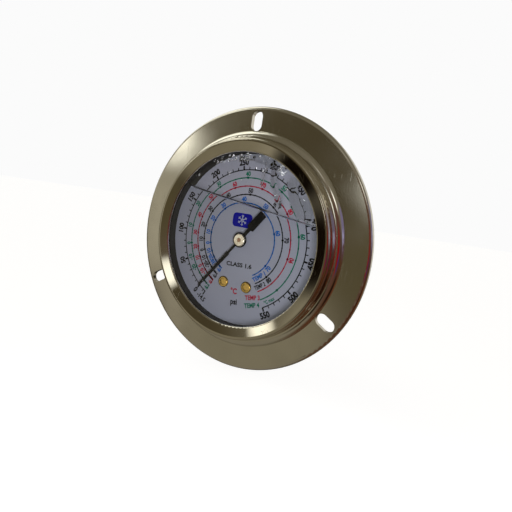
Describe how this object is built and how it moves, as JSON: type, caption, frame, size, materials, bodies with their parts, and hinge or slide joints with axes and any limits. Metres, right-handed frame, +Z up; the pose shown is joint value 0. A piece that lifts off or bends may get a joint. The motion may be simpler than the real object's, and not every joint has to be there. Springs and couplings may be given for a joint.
{
  "type": "panel pressure gauge",
  "caption": "Round liquid-filled pressure gauge with a slotted front flange, crimped bezel, dial with one pointer and a threaded stub at the back.",
  "frame": {"origin": "on the gauge axis, in the plane of the flange's rear face, which is the panel's front surface", "axes": "+Y along the gauge axis out of the back, towards the thread; the dial faces -Y; +Z up through the top slot"},
  "size_m": [0.085, 0.0536, 0.085],
  "materials": {
    "case_steel": "satin drawn stainless steel",
    "flange_steel": "polished stainless steel",
    "bezel_steel": "mirror polished stainless steel",
    "window_clear": "clear polycarbonate",
    "gasket_rubber": "black nitrile",
    "spacer_plastic": "black moulded ring",
    "plug_rubber": "black rubber",
    "dial_face": "matt white enamel on aluminium, printed",
    "screw_brass": "bright brass",
    "pointer_black": "satin black",
    "bush_nickel": "turned, satin",
    "steel": "turned steel",
    "movement_brass": "rolled brass",
    "spring_bronze": "phosphor bronze strip",
    "tube_bronze": "drawn bronze tube",
    "socket_brass": "machined brass"
  },
  "bodies": {
    "gauge_case": {"case_shell": "case_steel", "case_screws": "case_steel", "panel_flange": "flange_steel", "bezel_ring": "bezel_steel", "window": "window_clear", "window_gasket": "gasket_rubber", "spacer_ring": "spacer_plastic", "fill_plug": "plug_rubber", "socket_seal": "plug_rubber", "dial": "dial_face", "dial_screws": "screw_brass", "dial_posts": "screw_brass", "plate_pillars": "steel", "pillar_screws": "steel", "movement_screws": "steel", "spring_stud": "steel", "pinion_bushes": "movement_brass", "sector_bushes": "movement_brass", "front_plate": "movement_brass", "back_plate": "movement_brass", "hairspring": "spring_bronze", "bourdon_tube": "tube_bronze", "socket": "socket_brass", "restrictor": "socket_brass"},
    "pointer_staff": {"pinion_arbor": "steel", "pointer": "pointer_black", "pointer_bush": "bush_nickel", "spring_collet": "movement_brass"},
    "sector": {"sector_gear": "movement_brass", "sector_arbor": "steel", "lever_pin": "steel"},
    "link_bar": {"link": "steel"},
    "tube_end": {"tube_tip": "socket_brass", "tip_pin": "steel"}
  },
  "joints": [
    {"name": "pointer_turn", "type": "hinge", "parent": "gauge_case", "child": "pointer_staff", "pos_m": [0, 0, 0], "axis": [0, 1, 0], "range_deg": [-7.71, 292.29], "stiffness_Nm_per_rad": 0.004, "deforming": ["hairspring"]},
    {"name": "sector_turn", "type": "hinge", "parent": "gauge_case", "child": "sector", "pos_m": [-0.00954, 0, -0.01221], "axis": [0, 1, 0], "range_deg": [-31.5, 1]},
    {"name": "link_turn", "type": "hinge", "parent": "sector", "child": "link_bar", "pos_m": [-0.00631, 0, -0.0084], "axis": [0, 1, 0], "range_deg": [-1, 31.5]},
    {"name": "tube_end_swing", "type": "hinge", "parent": "gauge_case", "child": "tube_end", "pos_m": [-0.0072, 0, 0.01648], "axis": [0, 1, 0], "range_deg": [-0.25, 7.1], "deforming": ["bourdon_tube"]}
  ],
  "couplings": [
    {"joint": "sector_turn", "follows": "pointer_turn", "ratio": -0.10714},
    {"joint": "link_turn", "follows": "pointer_turn", "ratio": 0.10714},
    {"joint": "tube_end_swing", "follows": "pointer_turn", "ratio": 0.024033}
  ]
}
